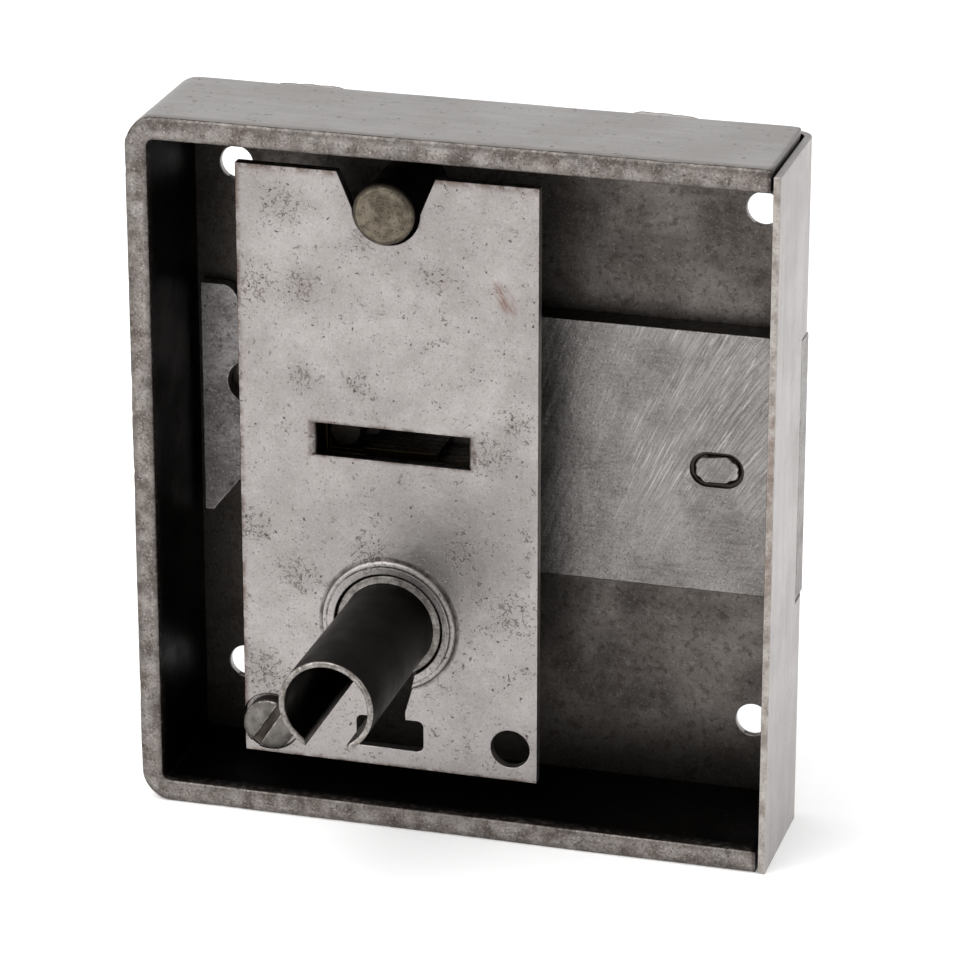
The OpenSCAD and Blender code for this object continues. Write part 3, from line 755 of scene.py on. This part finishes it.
colour = over(coat, colour, wear["Wear"], 0.5, tint(184, 180, 175))
# Painted shade darkens the groove and what of the head lies deeper, except in the forend
painted_deep_shade = ramped(coat.tree, place["Y"], head_low.y, head_low.y + 0.12 * MM)
inboard = ramped(coat.tree, place["X"], plate_high.x - 0.5 * MM, plate_high.x - 1.0 * MM)
colour = over(coat, colour, maths(coat.tree, "MULTIPLY", painted_deep_shade, inboard), 0.9, tint(44, 40, 36))
roughness = ramped(coat.tree, wide["Streaks"], 0.0, 1.0, 0.48, 0.36)
height = maths(coat.tree, "MULTIPLY_ADD", maths(
    coat.tree, "MULTIPLY", strokes["Streaks"], filed), 1.4, fine["Clouds"])
for piece in (head, rivet):
    finish(coat, piece, colour, roughness, height, 0.022)


# Tumblers: five sawn and filed brass plates, brown with old oil, that slide on two guide pins.
# A thin bow spring of blued steel presses each one down from the post.
coat = metal("old_brass")
old = use(coat, mottle, Cloud_Size=5.0, Speck_Size=0.6, Grain_Size=0.2)
rolled = use(coat, streaks, Across=0.25, Along=9.0)
colour = blended(coat.tree, old["Clouds"], tint(26, 21, 15), tint(50, 40, 26))
colour = over(coat, colour, rolled["Streaks"], 0.25, tint(66, 54, 34))
colour = over(coat, colour, old["Specks"], 0.6, tint(20, 16, 11))
wear = use(coat, edge_wear, Size=1.0, Amount=0.38)
colour = over(coat, colour, wear["Wear"], 0.35, tint(84, 68, 42))
brass = SimpleNamespace(
    coat=coat, colour=colour, roughness=ramped(coat.tree, old["Clouds"], 0.0, 1.0, 0.48, 0.3),
    height=maths(coat.tree, "MULTIPLY_ADD", rolled["Streaks"], 0.6, old["Grain"]))

coat = metal("spring_steel")
old = use(coat, mottle, Cloud_Size=3.0, Speck_Size=0.4, Grain_Size=0.15)
colour = blended(coat.tree, old["Clouds"], tint(70, 80, 96), tint(110, 118, 128))
colour = blended(coat.tree, maths(coat.tree, "MULTIPLY", old["Specks"], 0.5), colour, tint(104, 82, 60))
blued = SimpleNamespace(
    coat=coat, colour=colour, roughness=ramped(coat.tree, old["Clouds"], 0.0, 1.0, 0.42, 0.28),
    height=old["Grain"])

spring_t = 0.3 * MM
bow_steps = 28
spring_points = 15
for number in range(1, 6):
    tumbler = worn_copy(
        f"filed_tumbler_{number}", f"tumbler_{number}", f"tumbler_{number}", 0.1 * MM)
    finish(brass.coat, tumbler, brass.colour, brass.roughness, brass.height, 0.012)

    low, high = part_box(f"tumbler_spring_{number}")
    middle_x = (low.x + high.x) / 2
    half, rise = (high.x - low.x) / 2, high.z - low.z
    bow_r = (half * half + rise * rise) / (2 * rise)
    reach = math.asin(half / bow_r)
    rings = []
    for i in range(bow_steps + 1):
        turn = reach * (2 * i / bow_steps - 1)
        ring = []
        for into, y in arc((0, 0), 1, 0, 360, spring_points)[:-1]:
            deep = spring_t / 2 * (1 - max(-1.0, min(1.0, into * 1.3)))
            wide = (high.y - low.y) / 2 * max(-1.0, min(1.0, y * 1.1))
            ring.append(Vector((
                middle_x + (bow_r - deep) * math.sin(turn), (low.y + high.y) / 2 + wide,
                high.z - bow_r + (bow_r - deep) * math.cos(turn))))
        rings.append(ring)
    spring = placed(
        f"bow_spring_{number}", skin(rings), None, [f"tumbler_spring_{number}"])
    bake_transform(spring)
    finish(blued.coat, spring, blued.colour, blued.roughness, blued.height, 0.008)


# Cover plate: 1.5 mm steel, punched and pressed, held by one screw at its foot. The ends of
# the level slot are rolled in, a lip is pressed up round the key tube, and rust has left
# clusters of fine dark pits.
cover_t = 1.5 * MM
cover_low, cover_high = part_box("cover_plate")
cover_front = cover_high.y - cover_t
slot_level = 25.4 * MM
slot_middle = 0.5 * MM
slot_half_h = 2.275 * MM
slot_half_w = 10.1 * MM
roll_in = 1.0 * MM
roll_steps = 8


def is_at_slot(point, margin):
    """Tells a point in or near the level slot, whose ends are rolled in."""
    return (
        abs(point.x - slot_middle) < slot_half_w + margin
        and abs(point.z - slot_level) < slot_half_h + margin)


def roll_slot_ends(work):
    """Turns the level slot's square ends into ramps that curve in from the front."""
    ends = [
        face for face in work.faces
        if abs(face.normal.x) > 0.9 and is_at_slot(face.calc_center_median(), 0.1 * MM)]
    for face in ends:
        away = -math.copysign(1, face.normal.x)
        wall_x = face.calc_center_median().x
        level = [e for e in face.edges if abs(e.verts[0].co.y - e.verts[1].co.y) > cover_t / 2]
        bmesh.ops.subdivide_edges(work, edges=level, cuts=roll_steps - 1)
        for vert in work.verts:
            if abs(vert.co.x - wall_x) < 0.01 * MM and is_at_slot(vert.co, 0.1 * MM):
                turn = (vert.co.y - cover_front) / cover_t * math.pi / 2
                vert.co.y = cover_high.y - cover_t * math.cos(turn)
                vert.co.x += away * roll_in * (1 - math.sin(turn))


def at_slot_edge(edge):
    """Tells the edges of the level slot, which meet its ramps and stay sharp."""
    return all(is_at_slot(vert.co, roll_in + 0.1 * MM) for vert in edge.verts)


cover = worn_copy(
    "pressed_cover_plate", "cover_plate", "case", 0.16 * MM,
    shape=roll_slot_ends, crisp=at_slot_edge)
coat = metal("cover_steel")
old = use(coat, mottle, Cloud_Size=12.0, Speck_Size=1.2, Grain_Size=0.3)
fine = use(coat, mottle, Cloud_Size=2.4, Speck_Size=0.35, Grain_Size=0.12)
# Where the pits gather, as (x, z, radius) in millimetres from the key axis
clusters = [
    (-18, 46, 5), (-11.4, 46.6, 4.5), (6.6, 49.1, 3.4), (-3.1, 52.7, 3), (13.7, 25.5, 4.5),
    (17.6, 30, 4), (-4, 33.6, 3), (-17, -9, 6), (-12.2, 6, 5), (-2.5, 10.5, 4),
    (-11.5, 34, 3), (17, 3, 5), (-18.5, 12, 4), (10, 12, 5), (-14, 57, 5)]
gathered = 0.0
for x, z, radius in clusters:
    apart = add(coat.tree, "VectorMath", {
        0: coat.spot, 1: (x * MM, cover_front, z * MM)}, operation="DISTANCE").outputs["Value"]
    gathered = maths(coat.tree, "MAXIMUM", gathered, ramped(coat.tree, apart, radius * MM, 0.0))
# Between the clusters, patches of the surface are eaten too
eaten = use(coat, mottle, Cloud_Size=7.0, Speck_Size=2.2, Grain_Size=0.3)
gathered = maths(coat.tree, "MAXIMUM", gathered, maths(coat.tree, "MULTIPLY", eaten["Specks"], 0.55))
holes = use(coat, pits, Size=0.47, Cover=maths(coat.tree, "MULTIPLY_ADD", gathered, 0.75, 0.04))
small = use(coat, pits, Size=0.22, Cover=maths(coat.tree, "MULTIPLY_ADD", gathered, 0.8, 0.1))
curls = use(coat, nicks, Size=1.1, Cover=maths(coat.tree, "MULTIPLY_ADD", gathered, 0.3, 0.33))
colour = blended(coat.tree, old["Clouds"], tint(153, 148, 146), tint(170, 165, 163))
colour = over(coat, colour, eaten["Clouds"], 0.15, tint(144, 137, 134))
colour = over(coat, colour, fine["Clouds"], 0.2, tint(138, 131, 128))
colour = over(coat, colour, gathered, 0.2, tint(120, 113, 110))
colour = over(coat, colour, fine["Specks"], 0.3, tint(118, 110, 107))
colour = over(coat, colour, fine["Flecks"], 0.28, tint(190, 186, 184))
colour = over(coat, colour, small["Pits"], 0.6, tint(92, 83, 79))
colour = over(coat, colour, curls["Nicks"], 0.6, tint(84, 76, 72))
colour = over(coat, colour, holes["Pits"], 0.8, tint(58, 49, 45))
# A brown scuff of short slanting strokes, high on the right
scuff_middle = (15.8 * MM, cover_front, 47.1 * MM)
scuff_lean = math.radians(28)
leaning = add(coat.tree, "VectorRotate", {
    "Vector": coat.spot, "Center": scuff_middle, "Axis": (0, 1, 0), "Angle": scuff_lean}).outputs[0]
from_scuff = add(coat.tree, "VectorMath", {
    0: leaning, 1: scuff_middle}, operation="SUBTRACT").outputs[0]
narrowed = add(coat.tree, "VectorMath", {
    0: from_scuff, 1: (1, 1, 0.45)}, operation="MULTIPLY").outputs[0]
scuff_away = add(coat.tree, "VectorMath", {0: narrowed}, operation="LENGTH").outputs["Value"]
scuff_lines = use(coat, streaks, Vector=leaning, Across=0.35, Along=3.0)
scuff = maths(coat.tree, "MULTIPLY", scuff_lines["Streaks"], ramped(
    coat.tree, scuff_away, 1.5 * MM, 0.5 * MM))
colour = over(coat, colour, scuff, 0.85, tint(112, 84, 72))
wear = use(coat, edge_wear, Size=1.4, Amount=0.4)
colour = over(coat, colour, wear["Wear"], 0.5, tint(182, 177, 174))
tinge = use(coat, rust, Size=1.8, Cover=0.56)
place = add(coat.tree, "SeparateXYZ", {0: coat.spot}).outputs
at_side = ramped(coat.tree, place["X"], cover_low.x + 0.9 * MM, cover_low.x + 0.1 * MM)
at_foot = ramped(coat.tree, place["Z"], cover_low.z + 0.7 * MM, cover_low.z + 0.1 * MM)
at_top = ramped(coat.tree, place["Z"], cover_high.z - 1.3 * MM, cover_high.z - 0.1 * MM)
at_edge = maths(coat.tree, "MAXIMUM", maths(coat.tree, "MAXIMUM", at_side, at_foot), at_top)
edge_rust = maths(coat.tree, "MULTIPLY", at_edge, tinge["Rust"])
colour = over(coat, colour, edge_rust, 0.75, blended(
    coat.tree, 0.5, tinge["Colour"], tint(58, 50, 44)))
# The slot has a brown fringe, and the ramps at its ends are painted near black as shade
from_middle = maths(coat.tree, "ABSOLUTE", maths(coat.tree, "SUBTRACT", place["X"], slot_middle))
from_level = maths(coat.tree, "ABSOLUTE", maths(coat.tree, "SUBTRACT", place["Z"], slot_level))
past_end = maths(coat.tree, "SUBTRACT", from_middle, slot_half_w + roll_in)
past_side = maths(coat.tree, "SUBTRACT", from_level, slot_half_h)
past_slot = maths(coat.tree, "MAXIMUM", past_end, past_side)
fringe = ramped(coat.tree, past_slot, 0.5 * MM, 0.0)
patchy_fringe = maths(coat.tree, "MULTIPLY", fringe, fine["Clouds"])
colour = over(coat, colour, patchy_fringe, 0.75, tint(74, 58, 50))
in_slot = ramped(coat.tree, past_slot, 0.1 * MM, 0.0)
painted_slot_shade = maths(coat.tree, "MULTIPLY", in_slot, ramped(
    coat.tree, place["Y"], cover_front - 0.03 * MM, cover_front + 0.6 * MM))
colour = over(coat, colour, painted_slot_shade, 0.95, tint(20, 17, 15))
roughness = ramped(coat.tree, old["Clouds"], 0.0, 1.0, 0.42, 0.34)
# The lip round the tube has two creases where the press bent it, as (radius, half width) in mm
from_axis = add(coat.tree, "VectorMath", {0: add(coat.tree, "CombineXYZ", {
    0: place["X"], 1: place["Z"]}).outputs[0]}, operation="LENGTH").outputs["Value"]
creases = 0.0
for crease_r, crease_half_w in ((9.35, 0.42), (8.45, 0.2)):
    off = maths(coat.tree, "ABSOLUTE", maths(coat.tree, "SUBTRACT", from_axis, crease_r * MM))
    crease = ramped(coat.tree, off, crease_half_w * MM, 0.0)
    creases = maths(coat.tree, "MAXIMUM", creases, crease)
creases = maths(coat.tree, "MULTIPLY", creases, maths(
    coat.tree, "MULTIPLY_ADD", fine["Clouds"], 0.7, 0.3))
# Painted shade: the creases are painted dark, besides being sunk by the bump
colour = over(coat, colour, creases, 0.85, tint(58, 51, 47))
on_lip = ramped(coat.tree, from_axis, 10 * MM, 9.2 * MM)
lip_specks = maths(coat.tree, "MULTIPLY", on_lip, fine["Specks"])
colour = over(coat, colour, lip_specks, 0.5, tint(86, 78, 73))
sunken = maths(coat.tree, "ADD", maths(coat.tree, "ADD", holes["Pits"], creases), maths(
    coat.tree, "MULTIPLY", maths(coat.tree, "ADD", small["Pits"], curls["Nicks"]), 0.45))
height = maths(coat.tree, "SUBTRACT", maths(coat.tree, "MULTIPLY", fine["Clouds"], 0.4), sunken)
finish(coat, cover, colour, roughness, height, 0.05)


# Cover screw: a slotted steel screw that holds the cover's foot on its tapped pillar. The
# edges of its head are worn bright, and its slot and the sides of its head are painted dark as shade.
screw = worn_copy("slotted_cover_screw", "cover_screw", "case", 0.16 * MM)
screw_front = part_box("cover_screw")[0].y
coat = metal("screw_steel")
old = use(coat, mottle, Cloud_Size=2.0, Speck_Size=0.5, Grain_Size=0.15)
place = add(coat.tree, "SeparateXYZ", {0: coat.spot})
# Painted shade: what lies deeper than the head's front is darkened
deep = ramped(coat.tree, place.outputs["Y"], screw_front + 0.6 * MM, screw_front + 1.5 * MM)
colour = blended(coat.tree, old["Clouds"], tint(84, 80, 77), tint(124, 120, 116))
colour = over(coat, colour, old["Specks"], 0.5, tint(58, 53, 49))
colour = over(coat, colour, deep, 0.75, tint(56, 47, 40))
wear = use(coat, edge_wear, Size=0.7, Amount=0.5)
colour = over(coat, colour, wear["Wear"], 0.6, tint(192, 186, 180))
roughness = ramped(coat.tree, old["Clouds"], 0.0, 1.0, 0.5, 0.34)
finish(coat, screw, colour, roughness, old["Grain"], 0.03)


# Key tube: steel rolled to a tube and left open along its foot for the key's bit. A worn
# shoulder turns inside the cover's lip, and a flange behind the cover keeps the tube in.
tube_low, tube_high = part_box("key_tube")
tube_wall = 0.8 * MM
tube_slot = 5.6 * MM
front_r, root_r = 6.3 * MM, 6.15 * MM
shoulder_r, journal_r, flange_r = 7.2 * MM, 7.34 * MM, 8.54 * MM
shoulder_y = cover_front - 0.4 * MM
journal_y = cover_front + 0.3 * MM
flange_y = cover_high.y + 0.15 * MM
flange_end = flange_y + 1 * MM
round_r = 0.3 * MM


def tube_profile():
    """The wall's section as (radius, place along the tube, brightness), round from the rim.

    The tube flares a little towards its open end, from root_r to front_r.
    """
    bore_r = front_r - tube_wall
    rim_y = tube_low.y + round_r
    shade_y = rim_y + 0.15 * MM
    back = tube_high.y
    lip = []
    for i in range(9):
        turn = math.pi * i / 8
        lip.append((
            bore_r + tube_wall / 2 * (1 + math.cos(turn)), rim_y - round_r * math.sin(turn), 1.0))
    inner = [(bore_r, shade_y, 0.0), *(
        (bore_r + (root_r - front_r) * i / 10, rim_y + (back - rim_y) * i / 10, 0.0)
        for i in range(1, 11))]
    outer = [(root_r, back, 0.0), (root_r, flange_end + 0.1 * MM, 0.0)]
    steps = [
        (flange_r - 0.1 * MM, flange_end), (flange_r, flange_end - 0.1 * MM),
        (flange_r, flange_y + 0.1 * MM), (flange_r - 0.1 * MM, flange_y),
        (journal_r, flange_y - 0.02 * MM), (journal_r, journal_y + 0.15 * MM),
        (journal_r - 0.15 * MM, journal_y),
        (shoulder_r, journal_y - 0.02 * MM), (shoulder_r, shoulder_y + 0.25 * MM),
        (shoulder_r - 0.08 * MM, shoulder_y + 0.08 * MM), (shoulder_r - 0.25 * MM, shoulder_y),
        (root_r + 0.1 * MM, shoulder_y - 0.02 * MM)]
    outer += [(r, y, 0.7) for r, y in steps]
    start_y = shoulder_y - 0.1 * MM
    barrel = [
        (root_r + (front_r - root_r) * i / 12, start_y + (rim_y - start_y) * i / 12, 0.0)
        for i in range(12)]
    return [*lip, *inner, *outer, *barrel, (front_r, shade_y, 0.0)]


profile = tube_profile()
turn_steps = 72
rings = []
for i in range(turn_steps + 1):
    ring = []
    for r, y, _ in profile:
        open_half = math.asin(tube_slot / 2 / r)
        turn = -math.pi / 2 + open_half + (2 * math.pi - 2 * open_half) * i / turn_steps
        ring.append(Vector((r * math.cos(turn), y, r * math.sin(turn))))
    rings.append(ring)
tube = placed(
    "rolled_key_tube", skin(rings, {"rim": [bright for _, _, bright in profile]}),
    "tube", ["key_tube"])
coat = metal("tube_steel")
old = use(coat, mottle, Cloud_Size=6.0, Speck_Size=0.5, Grain_Size=0.2)
fine = use(coat, mottle, Cloud_Size=1.2, Speck_Size=0.35, Grain_Size=0.12)
place = add(coat.tree, "SeparateXYZ", {0: coat.spot}).outputs
colour = blended(coat.tree, old["Clouds"], tint(31, 30, 28), tint(46, 45, 42))
colour = over(coat, colour, old["Specks"], 0.25, tint(28, 26, 24))
# Painted shade: the tube is painted darker towards its shoulder at the cover
painted_shade = ramped(coat.tree, place["Y"], tube_low.y + 4 * MM, shoulder_y)
colour = over(coat, colour, painted_shade, 0.75, tint(20, 19, 17))
bright = blended(coat.tree, fine["Clouds"], tint(108, 102, 97), tint(160, 155, 151))
bright = over(coat, bright, fine["Specks"], 0.6, tint(66, 60, 55))
bright = over(coat, bright, fine["Flecks"], 0.4, tint(190, 186, 182))
colour = blended(coat.tree, mark(coat, "rim"), colour, bright)
roughness = ramped(coat.tree, old["Clouds"], 0.0, 1.0, 0.42, 0.32)
coat.shader.inputs["Specular Tint"].default_value = (0.7, 0.7, 0.7, 1)
finish(coat, tube, colour, roughness, old["Grain"], 0.012)
